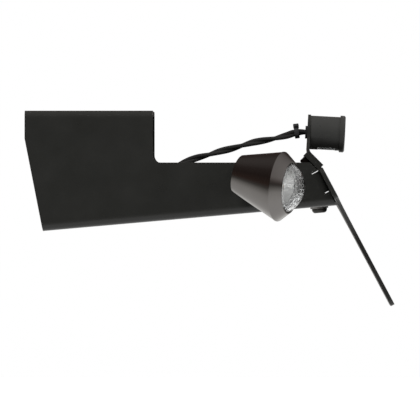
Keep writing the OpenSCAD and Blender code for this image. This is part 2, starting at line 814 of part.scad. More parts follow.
module on_stem() {
    translate([stem_x, arm_w / 2, -stem_drop]) rotate([-90, 0, 0]) children();
}

module housing() {
    tip_l = ridge_l + ridge_r / 2;
    color(dark_chrome) difference() {
        union() {
            intersection() {
                in_cone() rotate_extrude($fn = 96) polygon(concat(
                    [[0, 0], [front_r - 2 * front_round, 0]],
                    rounded([0, 0], [front_r, 0], [ridge_r, ridge_l], front_round),
                    [[front_r + cone_slope * tip_l, tip_l], [0, tip_l]]
                ));
                in_housing() translate([0, 0, ridge_l + ridge_w / 2 - 2 * tip_l])
                    cylinder(h = 2 * tip_l, r = 2 * ridge_r);
            }
            in_housing() rotate_extrude($fn = 96) polygon([
                [0, ridge_l], [band_r, ridge_l], [band_r, ridge_l + ridge_w],
                [ring_r, mouth_z], [0, mouth_z]]);
            on_stem() translate([0, 0, rubber_t]) cylinder(h = stand_off - rubber_t, d = neck_d);
        }
        in_housing() {
            translate([0, 0, bore_z]) cylinder(h = mouth_z, r = bore_r);
            translate([0, 0, seat_z]) cylinder(h = mouth_z, r = lens_r + fit);
        }
        in_cone() translate([0, 0, front_wall]) cylinder(h = room_l, r = room_r);
        on_stem() cylinder(h = stem_out, d = stem_d);
        on_stem() cylinder(h = lead_way, d = stem_bore_d);
    }
}

// The lens stands on the reflector's lip: a rim in the seat, and a dome of even thickness
module lens() {
    dome_r = (lens_r * lens_r + lens_h * lens_h) / (2 * lens_h);
    color([0.9, 0.9, 0.92, 0.5]) in_housing() translate([0, 0, seat_z + bowl_lip]) difference() {
        union() {
            cylinder(h = lens_rim, r = lens_r);
            translate([0, 0, lens_rim]) dome(lens_r, dome_r);
        }
        translate([0, 0, -past]) cylinder(h = lens_rim + past, r = lens_r - lens_wall);
        translate([0, 0, lens_rim]) dome(lens_r - lens_wall, dome_r - lens_wall);
    }
}

// Cap of a ball of radius ball_r over a circle of radius r
module dome(r, ball_r) {
    sink = sqrt(ball_r * ball_r - r * r);
    rotate_extrude($fn = 96) intersection() {
        translate([0, -sink]) circle(ball_r, $fn = 96);
        square([2 * r, 2 * ball_r]);
    }
}

// A bowl whose radius grows with the root of the distance from its eye
module reflector() {
    outer = bore_r - fit;
    bottom = seat_z - bowl_depth;
    bowl_r = outer - 1;
    color([0.85, 0.85, 0.86]) in_housing() difference() {
        union() {
            translate([0, 0, bottom]) cylinder(h = bowl_depth, r = outer);
            translate([0, 0, seat_z]) cylinder(h = bowl_lip, r = lens_r);
        }
        rotate_extrude() polygon(concat(
            [for (i = [0:arc_steps]) let (w = i / arc_steps)
                [bowl_eye_r + (bowl_r - bowl_eye_r) * sqrt(w), bottom + past + bowl_depth * w]],
            [[0, bottom + past + bowl_depth], [0, bottom + past]]
        ));
        translate([0, 0, bottom - past]) cylinder(h = bowl_depth / 2, r = bowl_eye_r);
    }
}

module led_board() {
    color([0.9, 0.5, 0.1]) in_housing() translate([0, 0, seat_z - bowl_depth - disc_t]) {
        cylinder(h = disc_t, r = bore_r - 2 * fit);
        cylinder(h = 1.5 * lamp_r, r = lamp_r);
        translate([0, 0, 1.5 * lamp_r]) sphere(lamp_r);
    }
}

module stem() {
    color(steel) on_stem() translate([0, 0, -stem_in]) difference() {
        cylinder(h = stem_in + stem_out, d = stem_d - fit / 2);
        translate([0, 0, -past]) cylinder(h = stem_in + stem_out + 2 * past, d = stem_bore_d);
    }
}

module rubber_washer() {
    color(rubber) on_stem() ring(rubber_d, stem_d + 2 * fit, rubber_t);
}

module washer() {
    color(steel) on_stem() translate([0, 0, -sheet_t - washer_t]) ring(washer_d, stem_d + 4 * fit, washer_t);
}

module nut() {
    color(steel) on_stem() translate([0, 0, -sheet_t - washer_t]) mirror([0, 0, 1])
        rotate([0, 0, 30]) hex_nut(nut_af, nut_h, stem_d);
}

module side_lead() {
    color(rubber) lead(side_route, lead_d);
}

module side_connector() {
    on_floor() translate([connector_x, lead_y, sheet_t]) connector(lead_d + 3 * fit, lead_rise);
}

module left_half() {
    mirror([0, 1, 0]) children();
}

arm_bracket();
plate_holder();
holder_screws();
holder_nuts();
foot_screws();
foot_washers();
foot_nuts();
lamp_bracket();
bracket_screws();
bracket_nuts();
lamp_housing();
lamp_cap();
lamp_lens();
lamp_led_board();
lamp_screws();
lamp_grommet();
lamp_lead();
lamp_lead_tie();
lamp_connector();
lead_saddles();
left_half() housing();  // left_housing
left_half() lens();  // left_lens
left_half() reflector();  // left_reflector
left_half() led_board();  // left_led_board
left_half() stem();  // left_stem
left_half() rubber_washer();  // left_rubber_washer
left_half() washer();  // left_washer
left_half() nut();  // left_nut
left_half() side_lead();  // left_lead
left_half() side_connector();  // left_connector
housing();  // right_housing
lens();  // right_lens
reflector();  // right_reflector
led_board();  // right_led_board
stem();  // right_stem
rubber_washer();  // right_rubber_washer
washer();  // right_washer
nut();  // right_nut
side_lead();  // right_lead
side_connector();  // right_connector
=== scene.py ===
import json
import math

import bmesh
import bpy
import numpy as np
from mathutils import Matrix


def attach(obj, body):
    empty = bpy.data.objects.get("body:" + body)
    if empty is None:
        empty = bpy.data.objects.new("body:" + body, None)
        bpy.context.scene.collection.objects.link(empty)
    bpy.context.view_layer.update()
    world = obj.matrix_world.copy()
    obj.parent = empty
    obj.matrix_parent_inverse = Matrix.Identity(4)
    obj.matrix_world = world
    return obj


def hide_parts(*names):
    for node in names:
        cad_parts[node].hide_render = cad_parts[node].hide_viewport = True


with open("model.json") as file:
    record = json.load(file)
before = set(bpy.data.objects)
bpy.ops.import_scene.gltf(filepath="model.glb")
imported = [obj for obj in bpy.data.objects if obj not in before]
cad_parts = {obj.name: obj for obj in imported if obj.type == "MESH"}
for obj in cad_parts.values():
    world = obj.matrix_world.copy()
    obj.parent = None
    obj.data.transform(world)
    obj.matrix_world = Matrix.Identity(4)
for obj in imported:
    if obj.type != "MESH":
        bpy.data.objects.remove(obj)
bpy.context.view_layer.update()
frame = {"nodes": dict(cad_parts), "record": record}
mm = 0.001
print("tail tidy: CAD frame loaded")

# The camera sees the left side square on, a hair from the rear. Angles are in degrees, lengths in metres,
# and the sensor in millimetres
shot = {
    "azimuth": 0.6, "elevation": 0.0, "distance": 3.0, "width": 0.212, "centre": (0.0605, 0, -0.0495),
    "sensor": 36, "near": 0.05, "far": 80}


def addCamera():
    # The focal length is the sensor's width times the distance, over the width that the picture shows
    lens = bpy.data.cameras.new("tidyCamera")
    lens.sensor_width = shot["sensor"]
    lens.lens = shot["sensor"] * shot["distance"] / shot["width"]
    lens.clip_start, lens.clip_end = shot["near"], shot["far"]
    camera = bpy.data.objects.new("tidyCamera", lens)
    bpy.context.scene.collection.objects.link(camera)
    az, el = math.radians(shot["azimuth"]), math.radians(shot["elevation"])
    back = np.array([math.sin(az) * math.cos(el), -math.cos(az) * math.cos(el), math.sin(el)])
    camera.location = np.array(shot["centre"]) + back * shot["distance"]
    camera.rotation_euler = (math.pi / 2 - el, 0, az)
    bpy.context.scene.camera = camera
    bpy.context.scene.view_settings.view_transform = "Standard"


addCamera()

# Node helpers: put adds a node with its settings and its inputs, and an input that is a socket is linked


def put(tree, kind, settings=None, inputs=None):
    node = tree.nodes.new(kind)
    for name, value in (settings or {}).items():
        setattr(node, name, value)
    for name, value in (inputs or {}).items():
        if isinstance(value, bpy.types.NodeSocket):
            tree.links.new(value, node.inputs[name])
        else:
            node.inputs[name].default_value = value
    return node


def maths(tree, operation, *values):
    return put(tree, "ShaderNodeMath", {"operation": operation}, dict(enumerate(values))).outputs[0]


def spread(tree, value, low, high, start=0.0, end=1.0):
    # The stretch from low to high becomes the stretch from start to end, and stays at its ends beyond them
    return put(tree, "ShaderNodeMapRange", None, {
        "Value": value, "From Min": low, "From Max": high, "To Min": start, "To Max": end}).outputs[0]


def noise(tree, where, scale, detail, roughness=0.5):
    return put(tree, "ShaderNodeTexNoise", None, {
        "Vector": where, "Scale": scale, "Detail": detail, "Roughness": roughness}).outputs[0]


def blendColour(tree, factor, first, second, kind="MIX"):
    # The first colour, and the second where the factor is one; either may be a socket
    ends = [c if isinstance(c, bpy.types.NodeSocket) else (*c, 1) for c in (first, second)]
    return put(tree, "ShaderNodeMix", {"data_type": "RGBA", "blend_type": kind}, {
        "Factor": factor, 6: ends[0], 7: ends[1]}).outputs[2]


def softNormal(tree, radius):
    return put(tree, "ShaderNodeBevel", {"samples": effects["samples"]}, {"Radius": radius}).outputs[0]


def bumpOver(tree, height, depth, softening):
    # The bump stands on a normal whose corners are rounded first
    soft = softNormal(tree, softening)
    return put(tree, "ShaderNodeBump", None, {
        "Height": height, "Distance": depth, "Normal": soft}).outputs[0]


def newGroup(name, inputs, outputs):
    # An input is a name, a kind and a value, and an output a name and a kind
    tree = bpy.data.node_groups.new(name, "ShaderNodeTree")
    for label, kind, value in inputs:
        socket = tree.interface.new_socket(label, in_out="INPUT", socket_type="NodeSocket" + kind)
        socket.default_value = value
    for label, kind in outputs:
        tree.interface.new_socket(label, in_out="OUTPUT", socket_type="NodeSocket" + kind)
    return tree, tree.nodes.new("NodeGroupInput").outputs, tree.nodes.new("NodeGroupOutput").inputs


# Effects that several materials share: noise scales per metre, and where each mask starts and is full
effects = {
    "samples": 4, "mottle": 70.0, "specks": 2600.0, "speckMask": (0.62, 0.72), "cornerMask": (0.985, 0.86),
    "patchMask": (0.42, 0.62), "cloud": 55.0, "mottleReach": (0.3, 0.7), "marksReach": (0.25, 0.75)}


# Fine skin of a coating or moulding: small rounded bumps, broad mottling, and corners as soft as paint
# leaves them
def makeSkinGroup():
    tree, given, out = newGroup("fineSkin", [
        ("Grain", "Float", 900.0), ("Depth", "Float", 0.00002), ("Softening", "Float", 0.0003)],
        [("Mottle", "Float"), ("Speck", "Float"), ("Normal", "Vector")])
    where = put(tree, "ShaderNodeTexCoord").outputs["Object"]
    grain = noise(tree, where, given["Grain"], detail=2.0, roughness=0.45)
    mottle = noise(tree, where, effects["mottle"], detail=5.0)
    specks = noise(tree, where, effects["specks"], detail=1.0)
    bump = bumpOver(tree, grain, given["Depth"], given["Softening"])
    tree.links.new(mottle, out["Mottle"])
    tree.links.new(spread(tree, specks, *effects["speckMask"]), out["Speck"])
    tree.links.new(bump, out["Normal"])
    return tree


# Mask of the corners: one where the normal averaged over the width leaves the true one, broken up by noise
def makeWearGroup():
    tree, given, out = newGroup("cornerWear", [
        ("Width", "Float", 0.0004), ("Patches", "Float", 220.0)], [("Mask", "Float")])
    where = put(tree, "ShaderNodeTexCoord").outputs["Object"]
    wide = softNormal(tree, given["Width"])
    true = put(tree, "ShaderNodeNewGeometry").outputs["Normal"]
    dot = put(tree, "ShaderNodeVectorMath", {"operation": "DOT_PRODUCT"}, {0: wide, 1: true})
    corner = spread(tree, dot.outputs["Value"], *effects["cornerMask"])
    broken = spread(tree, noise(tree, where, given["Patches"], detail=4.0), *effects["patchMask"])
    tree.links.new(maths(tree, "MULTIPLY", corner, broken), out["Mask"])
    return tree


# Marks of handling on metal: noise drawn out along one direction, for the roughness and a little for the
# normal
def makeMarksGroup():
    tree, given, out = newGroup("handlingMarks", [
        ("Stretch", "Vector", (1.0, 1.0, 12.0)), ("Fineness", "Float", 300.0), ("Depth", "Float", 0.000004),
        ("Softening", "Float", 0.0002)],
        [("Marks", "Float"), ("Cloud", "Float"), ("Normal", "Vector")])
    where = put(tree, "ShaderNodeTexCoord").outputs["Object"]
    drawn = put(tree, "ShaderNodeVectorMath", {"operation": "MULTIPLY"}, {0: where, 1: given["Stretch"]})
    fine = noise(tree, drawn.outputs[0], given["Fineness"], detail=6.0, roughness=0.6)
    cloud = noise(tree, where, effects["cloud"], detail=3.0)
    bump = bumpOver(tree, fine, given["Depth"], given["Softening"])
    tree.links.new(fine, out["Marks"])
    tree.links.new(cloud, out["Cloud"])
    tree.links.new(bump, out["Normal"])
    return tree


skin, wear, marks = makeSkinGroup(), makeWearGroup(), makeMarksGroup()


def newMaterial(name, **sockets):
    # A cleared material with one shader, whose sockets are named with _ for a space
    material = bpy.data.materials.new(name)
    material.use_nodes = True
    tree = material.node_tree
    tree.nodes.clear()
    values = {socket.replace("_", " "): value for socket, value in sockets.items()}
    shader = put(tree, "ShaderNodeBsdfPrincipled", None, values)
    put(tree, "ShaderNodeOutputMaterial", None, {"Surface": shader.outputs[0]})
    return material, tree, shader


def useGroup(tree, group, **values):
    return put(tree, "ShaderNodeGroup", {"node_tree": group}, values).outputs


def feed(tree, shader, **sockets):
    for name, value in sockets.items():
        tree.links.new(value, shader.inputs[name.replace("_", " ")])


# Black coats: a skin of fine bumps, mottled gloss, pale specks of the powder, and thin wear along corners
def blackCoat(name, coat):
    material, tree, shader = newMaterial(name, Specular_IOR_Level=coat["specular"])
    s = useGroup(tree, skin, Grain=coat["grain"], Depth=coat["depth"], Softening=coat["softening"])
    w = useGroup(tree, wear, Width=coat["wearWidth"])
    base = blendColour(tree, s["Mottle"], coat["dark"], coat["light"])
    worn = blendColour(tree, maths(tree, "MULTIPLY", w["Mask"], coat["wear"]), base, coat["worn"])
    rough = maths(tree, "ADD", spread(tree, s["Mottle"], *effects["mottleReach"], *coat["gloss"]),
                  maths(tree, "MULTIPLY", s["Speck"], coat["speck"]))
    feed(tree, shader, Base_Color=worn, Roughness=rough, Normal=s["Normal"])
    return material


# Metals: marks and clouds in the gloss over one colour that drifts a little
def bareMetal(name, metal):
    material, tree, shader = newMaterial(name, Metallic=1.0)
    m = useGroup(tree, marks, Stretch=metal["stretch"], Fineness=metal["fineness"], Depth=metal["depth"],
                 Softening=metal["softening"])
    base = blendColour(tree, m["Cloud"], metal["dark"], metal["light"])
    rough = spread(tree, m["Marks"], *effects["marksReach"], *metal["gloss"])
    feed(tree, shader, Base_Color=base, Roughness=rough, Normal=m["Normal"])
    return material


# Clear mouldings: the tint and the roughness drift a little with the skin's mottling
def clearPlastic(name, tint, rough):
    material, tree, shader = newMaterial(name, Transmission_Weight=1.0, IOR=moulding["ior"])
    s = useGroup(tree, skin, Grain=moulding["grain"], Depth=moulding["depth"],
                 Softening=moulding["softening"])
    base = blendColour(tree, s["Mottle"], tint, [c * moulding["darker"] for c in tint])
    gloss = spread(tree, s["Mottle"], *effects["mottleReach"], rough, rough * moulding["rougher"])
    feed(tree, shader, Base_Color=base, Roughness=gloss)
    return material


# Printed board: solder mask with faint copper tracks under it
def printedBoard(name, look):
    material, tree, shader = newMaterial(
        name, Coat_Weight=look["coat"], Coat_Roughness=look["coatRoughness"])
    where = put(tree, "ShaderNodeTexCoord").outputs["Object"]
    tracks = put(tree, "ShaderNodeTexVoronoi", {"feature": "DISTANCE_TO_EDGE"}, {
        "Vector": where, "Scale": look["tracks"]})
    s = useGroup(tree, skin, Grain=look["grain"], Depth=look["depth"], Softening=look["softening"])
    onMask = spread(tree, tracks.outputs[0], *look["trackEdge"])
    base = blendColour(tree, onMask, look["copper"], look["mask"])
    gloss = spread(tree, s["Mottle"], *effects["mottleReach"], *look["gloss"])
    feed(tree, shader, Base_Color=base, Roughness=gloss, Normal=s["Normal"])
    return material


# Depths, widths and softenings are in metres, grain and fineness are scales per metre, and gloss is the
# roughness, from and to
coats = {
    "coated_sheet": {
        "dark": (0.0135, 0.0137, 0.0124), "light": (0.0198, 0.02, 0.0184), "worn": (0.1, 0.098, 0.09),
        "wear": 0.4, "wearWidth": 0.0004, "specular": 0.42, "grain": 850.0, "depth": 0.00003,
        "softening": 0.0004, "gloss": (0.27, 0.36), "speck": 0.12},
    "lamp_shell": {
        "dark": (0.028, 0.028, 0.027), "light": (0.037, 0.037, 0.035), "worn": (0.12, 0.12, 0.11),
        "wear": 0.25, "wearWidth": 0.00025, "specular": 0.26, "grain": 2400.0, "depth": 0.000006,
        "softening": 0.0002, "gloss": (0.26, 0.34), "speck": 0.05},
    "soft_rubber": {
        "dark": (0.011, 0.011, 0.011), "light": (0.02, 0.02, 0.019), "worn": (0.05, 0.05, 0.05),
        "wear": 0.2, "wearWidth": 0.0003, "specular": 0.35, "grain": 1300.0, "depth": 0.00002,
        "softening": 0.0002, "gloss": (0.6, 0.75), "speck": 0.1},
    "lead_sheath": {
        "dark": (0.012, 0.012, 0.012), "light": (0.019, 0.019, 0.018), "worn": (0.05, 0.05, 0.05),
        "wear": 0.1, "wearWidth": 0.0002, "specular": 0.5, "grain": 1100.0, "depth": 0.00001,
        "softening": 0.0001, "gloss": (0.3, 0.42), "speck": 0.05},
    "connector_nylon": {
        "dark": (0.02, 0.02, 0.021), "light": (0.032, 0.032, 0.033), "worn": (0.1, 0.1, 0.1),
        "wear": 0.3, "wearWidth": 0.0002, "specular": 0.5, "grain": 1900.0, "depth": 0.00001,
        "softening": 0.0002, "gloss": (0.4, 0.52), "speck": 0.05},
}
metals = {
    "fastener_steel": {
        "dark": (0.36, 0.36, 0.37), "light": (0.5, 0.49, 0.47), "stretch": (1.0, 1.0, 1.0),
        "fineness": 500.0, "depth": 0.000006, "softening": 0.00015, "gloss": (0.26, 0.42)},
    "dark_nuts": {
        "dark": (0.035, 0.034, 0.033), "light": (0.06, 0.058, 0.055), "stretch": (1.0, 1.0, 1.0),
        "fineness": 600.0, "depth": 0.000008, "softening": 0.00015, "gloss": (0.34, 0.5)},
    "dark_chrome": {
        "dark": (0.175, 0.165, 0.16), "light": (0.205, 0.196, 0.19), "stretch": (1.0, 6.0, 1.0),
        "fineness": 160.0, "depth": 0.000001, "softening": 0.0001, "gloss": (0.1, 0.18)},
    "reflector": {
        "dark": (0.52, 0.515, 0.51), "light": (0.6, 0.595, 0.585), "stretch": (1.0, 1.0, 1.0),
        "fineness": 240.0, "depth": 0.000001, "softening": 0.00005, "gloss": (0.3, 0.4)},
}
moulding = {
    "ior": 1.49, "grain": 1500.0, "depth": 0.000002, "softening": 0.0001, "darker": 0.97, "rougher": 1.6}
clears = {"clear_lens": ((0.93, 0.94, 0.94), 0.15), "amber_led": ((0.95, 0.42, 0.04), 0.12)}
windowLook = ((0.3, 0.31, 0.31), 0.3)  # the lamp's window is greyer than the indicators' lenses
boardLook = {
    "coat": 0.4, "coatRoughness": 0.12, "tracks": 420.0, "trackEdge": (0.03, 0.09),
    "copper": (0.02, 0.12, 0.05), "mask": (0.006, 0.05, 0.022), "grain": 1500.0, "depth": 0.000004,
    "softening": 0.0001, "gloss": (0.35, 0.5)}

materials = {slot: blackCoat(slot, coat) for slot, coat in coats.items()}
materials.update({slot: bareMetal(slot, metal) for slot, metal in metals.items()})
materials.update({slot: clearPlastic(slot, *look) for slot, look in clears.items()})
materials["board"] = printedBoard("board", boardLook)
lampWindow = clearPlastic("lampWindow", *windowLook)
for part in frame["record"]["subparts"]:
    look = lampWindow if part["node"] == "lamp_lens" else materials[part["material_slot"]]
    mesh = frame["nodes"][part["node"]].data
    mesh.materials.clear()
    mesh.materials.append(look)
print("tail tidy: materials made")

# Shape helpers. Points are in millimetres in a piece's own frame, and a matrix carries them to the shared
# frame


def frameAt(origin, *turns):
    # Product of the turns, given as (axis, degrees) from the first to the last, then the move to the origin
    m = np.eye(4)
    for axis, degrees in turns:
        c, s = math.cos(math.radians(degrees)), math.sin(math.radians(degrees))
        i, j = {"x": (1, 2), "y": (2, 0), "z": (0, 1)}[axis]
        turn = np.eye(4)
        turn[i, i], turn[i, j], turn[j, i], turn[j, j] = c, -s, s, c
        m = turn @ m
    m[:3, 3] = origin
    return m


def moved(points, place):
    # The matrix turns the points and then moves them
    return points @ place[:3, :3].T + place[:3, 3]


def shifted(place, x=0, y=0, z=0, turnOver=False):
    # The place moved along its own axes, and turned over about its own x axis
    step = np.eye(4)
    step[:3, 3] = (x, y, z)
    over = np.diag([1.0, -1, -1, 1]) if turnOver else np.eye(4)
    return place @ step @ over


def unit(v):
    return v / np.maximum(np.linalg.norm(v, axis=-1, keepdims=True), 1e-12)


def softened(points, radii, steps):
    # Each inner corner becomes an arc that touches both sides: its centre lies on the bisector, at
    # radius / sin(half the corner), and no arc takes more than 0.48 of its shorter side
    p, r = np.array(points, float), np.array(radii, float)
    before, after = p[:-2] - p[1:-1], p[2:] - p[1:-1]
    u, v = unit(before), unit(after)
    half = np.arccos(np.clip((u * v).sum(1), -1, 0.99999)) / 2
    shortest = np.minimum(np.linalg.norm(before, axis=1), np.linalg.norm(after, axis=1))
    r = np.minimum(r, 0.48 * shortest * np.tan(half))
    centre = p[1:-1] + unit(u + v) * (r / np.sin(half))[:, None]
    start = p[1:-1] + u * (r / np.tan(half))[:, None] - centre
    end = p[1:-1] + v * (r / np.tan(half))[:, None] - centre
    side = np.sign(start[:, 0] * end[:, 1] - start[:, 1] * end[:, 0])
    w = (np.linspace(0, 1, steps + 1)[None, :] * ((np.pi - 2 * half) * side)[:, None])
    c, s = np.cos(w), np.sin(w)
    arc = centre[:, None, :] + np.stack([
        start[:, :1] * c - start[:, 1:] * s, start[:, :1] * s + start[:, 1:] * c], -1)
    return np.vstack([p[:1], arc.reshape(-1, 2), p[-1:]])


def turned(profile, around, radiusAt=None):
    # Surface of revolution: the row (z, r) goes round the z axis, and radiusAt may change r with the row
    # and the angle
    z, r = np.asarray(profile, float).T
    angle = np.arange(around) * 2 * np.pi / around
    radius = np.repeat(r[:, None], around, 1)
    if radiusAt is not None:
        radius = radiusAt(z[:, None], radius, angle[None, :])
    return np.stack([
        radius * np.cos(angle), radius * np.sin(angle), np.repeat(z[:, None], around, 1)], -1)


def hexAt(flats, angle):
    # Radius of a hexagon: half its width over flats, divided by the cosine of the angle from the middle of
    # the nearest flat
    return flats / 2 / np.cos((angle + np.pi / 6) % (np.pi / 3) - np.pi / 6)


def threadAt(z, angle, outer, depth, pitch):
    # A ridge that climbs one pitch a turn: the outer radius less the depth times a triangle wave, which is
    # drawn out by a quarter and cut off at both ends, so that its crest and root are flat
    wave = np.abs(((z / pitch - angle / (2 * np.pi)) % 1) * 2 - 1)
    return outer - depth * np.clip(wave * 1.25 - 0.125, 0, 1)


def smoothPath(points, steps):
    # Smooth curve through the points: each span is the cubic through its two ends, with slopes from the
    # neighbours
    p = np.array(points, float)
    p = np.vstack([2 * p[0] - p[1], p, 2 * p[-1] - p[-2]])
    a, b, c, d = p[:-3, None], p[1:-2, None], p[2:-1, None], p[3:, None]
    t = (np.arange(steps) / steps)[None, :, None]
    curve = 0.5 * (2 * b + (c - a) * t + (2 * a - 5 * b + 4 * c - d) * t ** 2
                   + (3 * b - a - 3 * c + d) * t ** 3)
    return np.vstack([curve.reshape(-1, 3), p[-2]])


def carried(path, radius, around, aside, offset=0.0, pitch=1.0, phase=0.0):
    # Tube along a path: a circle in the plane square to the path, its centre moved off the path by the
    # offset, which turns once a pitch along the path; its ends close to a point
    along = unit(np.gradient(path, axis=0))
    u = unit(np.cross(along, np.array(aside, float)))
    v = np.cross(along, u)
    run = np.r_[0, np.cumsum(np.linalg.norm(np.diff(path, axis=0), axis=1))]
    w = (2 * np.pi * run / pitch + phase)[:, None]
    centre = path + offset * (u * np.cos(w) + v * np.sin(w))
    angle = np.arange(around) * 2 * np.pi / around
    ring = u[:, None] * np.cos(angle)[None, :, None] + v[:, None] * np.sin(angle)[None, :, None]
    rows = centre[:, None] + ring * radius
    first, last = [np.repeat(centre[i][None, None], around, 1) for i in (0, -1)]
    return np.concatenate([first, rows, last])


def blockAt(low, high, radius, steps=4):
    # Rounded block: a ball's points, each pushed out to the corner of the inner box that it faces
    low, high = np.array(low, float), np.array(high, float)
    centre, half = (low + high) / 2, (high - low) / 2 - radius
    up = np.r_[np.linspace(-90, 0, steps + 1), np.linspace(0, 90, steps + 1)]
    lift = np.r_[-np.ones(steps + 1), np.ones(steps + 1)]
    turn = np.concatenate([np.linspace(q, q + 90, steps + 1) for q in (0, 90, 180, 270)])
    sx = np.repeat([1, -1, -1, 1], steps + 1)
    sy = np.repeat([1, 1, -1, -1], steps + 1)
    cu, su = np.cos(np.radians(up))[:, None], np.sin(np.radians(up))[:, None]
    ct, st = np.cos(np.radians(turn))[None, :], np.sin(np.radians(turn))[None, :]
    ball = np.stack([cu * ct, cu * st, su * np.ones_like(ct)], -1) * radius
    toCorner = [np.broadcast_to(reach, ball.shape[:2]) for reach in (
        sx * half[0], sy * half[1], lift[:, None] * half[2])]
    rows = centre + ball + np.stack(toCorner, -1)
    ends = [centre + [0, 0, side * (half[2] + radius)] for side in (-1, 1)]
    bottom, top = [np.repeat(end[None, None], rows.shape[1], 1) for end in ends]
    return np.concatenate([bottom, rows, top])


joining = {"seam": 2e-6, "sliver": 1e-7}  # metres: points this near each other are one, edges this short go


def addPiece(name, slot, surfaces, place=None, looped=False, flip=False, sharpest=32, nodes=()):
    # Each surface is a grid of points: its columns close round, and its rows close too where looped. Edges
    # that turn by more than the sharpest angle stay sharp, and a flip mirrors the piece to the other side
    verts, faces, start = [], [], 0
    for grid in surfaces:
        rows, cols = grid.shape[:2]
        i = np.arange(rows if looped else rows - 1)[:, None]
        j = np.arange(cols)[None, :]
        below, beside = (i + 1) % rows, (j + 1) % cols
        faces.append(start + np.stack([
            i * cols + j, i * cols + beside, below * cols + beside, below * cols + j], -1).reshape(-1, 4))
        verts.append(grid.reshape(-1, 3))
        start += rows * cols
    points = np.vstack(verts)
    if place is not None:
        points = moved(points, place)
    if flip:
        points = points * [1, -1, 1]
    mesh = bpy.data.meshes.new(name)
    mesh.from_pydata((points * mm).tolist(), [], np.vstack(faces).tolist())
    shape = bmesh.new()
    shape.from_mesh(mesh)
    bmesh.ops.remove_doubles(shape, verts=shape.verts, dist=joining["seam"])
    bmesh.ops.dissolve_degenerate(shape, edges=shape.edges, dist=joining["sliver"])
    bmesh.ops.recalc_face_normals(shape, faces=shape.faces)
    shape.to_mesh(mesh)
    shape.free()
    mesh.shade_smooth()
    mesh.set_sharp_from_angle(angle=math.radians(sharpest))
    mesh.materials.append(materials[slot])
    piece = bpy.data.objects.new(name, mesh)
    bpy.context.scene.collection.objects.link(piece)
    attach(piece, "root")
    if nodes:
        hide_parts(*nodes)


# Frames of the source, in millimetres and degrees: the holder's plane, the floor, the top flange's screws,
# the lamp's axis, the stem that the indicator stands on, and the indicator's own cone
seats = {
    "holder": ((115.5, 0, -26), ("y", 62)), "floor": ((0, 0, -58.3), ("y", -5)),
    "bracket": ((113.056, 0, -22.675), ("y", 45)), "lamp": ((111.084, 0, -10.6), ("y", 93)),
    "stem": ((77, 28, -33), ("x", -90)), "cone": ((75, 54, -31.8), ("y", 90), ("y", 14), ("z", 20))}
onPlane, onFloor, onBracket, onLamp, onStem, inCone = [frameAt(*seat) for seat in seats.values()]

# Screws and nuts. A screw is one outline from its tip to the floor of its socket, turned round its axis,
# with the thread cut along its shank and a hexagon for the socket's wall. Thread depths are shares of the
# pitch
flatHead = {
    "kind": "flat", "d": 3.98, "pitch": 0.7, "head": 1.4, "headD": 6.8, "socket": 2.5, "socketDepth": 1.5}
fasteners = {
    "holderScrew": dict(flatHead, length=9.8),
    "bracketScrew": dict(flatHead, length=8.0),
    "lampScrew": {
        "kind": "flat", "d": 2.98, "pitch": 0.5, "length": 4.4, "head": 1.1, "headD": 5.2, "socket": 2.0,
        "socketDepth": 1.2},
    "footScrew": {
        "kind": "button", "d": 3.98, "pitch": 0.7, "length": 9.3, "head": 2.1, "headD": 7.6, "socket": 2.5,
        "socketDepth": 1.2},
    "nut": {"height": 3.2, "bore": 3.9, "flats": 7, "pitch": 0.7}}
screwCut = {
    "around": 72, "rowsPerPitch": 9, "threadDepth": 0.61, "tip": 0.35, "rim": 0.18, "rimRound": 0.08,
    "rimSteps": 3, "domeEnd": 62, "domeRows": 12, "underDome": 0.15, "domeLift": 0.12, "face": 0.35,
    "socketMouth": 0.12, "hexCorner": 1.155, "drillPoint": 0.4}
nutCut = {
    "threadDepth": 0.35, "bevel": 0.25, "mouth": 0.2, "crest": 0.02, "faceShare": 0.96, "cone": 30,
    "drop": 0.32, "dropFlats": 7}  # the cone takes this drop from a nut that is this wide over flats


def screwPoints(spec):
    cut, d, pitch, length, head = screwCut, spec["d"], spec["pitch"], spec["length"], spec["head"]
    headR, socketR = spec["headD"] / 2, spec["socket"] / 2
    shankTop = -head if spec["kind"] == "flat" else 0.0
    shankRows = int((length + shankTop) / pitch * cut["rowsPerPitch"])
    shank = np.linspace(-length + cut["tip"], shankTop, shankRows)
    tip = [(-length, 0), (-length, d / 2 - cut["tip"])]
    if spec["kind"] == "flat":
        face = 0.0
        top = softened([(shankTop, d / 2), (-cut["rim"], headR), (0, headR), (0, socketR)],
                       [cut["rimRound"]] * 2, cut["rimSteps"])
    else:
        # Dome: it rises with the sine of an angle, and narrows with the root of its cosine
        face = head
        a = np.radians(np.linspace(0, cut["domeEnd"], cut["domeRows"]))
        dome = np.c_[head * np.sin(a) / np.sin(a[-1]), headR * np.cos(a) ** 0.5]
        top = np.vstack([[(0.0, headR - cut["underDome"])], dome + [cut["domeLift"], 0],
                         [(head, socketR + cut["face"])]])
    bottom = face - spec["socketDepth"]
    socket = [(face, socketR * cut["hexCorner"] + cut["socketMouth"]), (face - cut["socketMouth"], socketR),
              (bottom, socketR), (bottom - cut["drillPoint"], 0)]
    rows = np.vstack([tip, np.c_[shank, np.full(len(shank), d / 2)], top, socket])
    hexRows = np.zeros(len(rows), bool)
    hexRows[-3:-1] = True
    thread = np.zeros(len(rows), bool)
    thread[len(tip):len(tip) + len(shank)] = True

    def radiusAt(z, r, angle):
        cutThread = threadAt(z, angle, d / 2, cut["threadDepth"] * pitch, pitch) + 0 * r
        r = np.where(thread[:, None], cutThread, r)
        return np.where(hexRows[:, None], hexAt(spec["socket"], angle) + 0 * r, r)
    return turned(rows, cut["around"], radiusAt)


